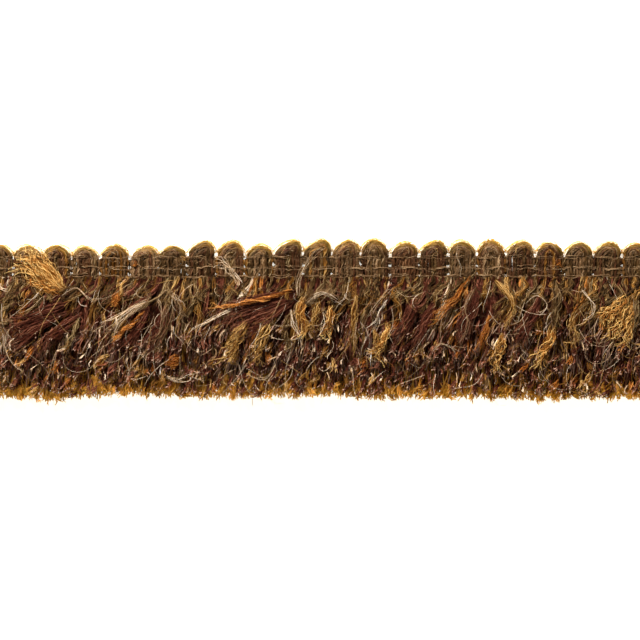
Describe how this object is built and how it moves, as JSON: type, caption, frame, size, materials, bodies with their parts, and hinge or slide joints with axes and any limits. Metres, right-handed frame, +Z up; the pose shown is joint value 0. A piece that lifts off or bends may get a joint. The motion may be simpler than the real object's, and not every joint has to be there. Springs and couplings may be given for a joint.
{
  "type": "brush fringe trim",
  "caption": "Straight length of brush fringe lying flat: a narrow woven heading with a scalloped edge and a thick, tousled skirt of cut wool yarn in brown and ochre.",
  "frame": {"origin": "centre of the trim's bounding box, on the flat surface that it lies on", "axes": "+X along the trim, +Y from the cut ends of the skirt to the scallops of the heading, +Z up out of the surface"},
  "size_m": [0.1618, 0.038, 0.0071],
  "materials": {
    "heading": "plain weave of matt wool and linen yarn in taupe, brown and ochre",
    "skirt_back": "matt cut wool, aubergine brown with ochre",
    "skirt_front": "soft cut wool and linen, aubergine brown, ochre and cream"
  },
  "bodies": {
    "root": {"heading": "heading", "skirt_back": "skirt_back", "skirt_front": "skirt_front"}
  },
  "joints": []
}
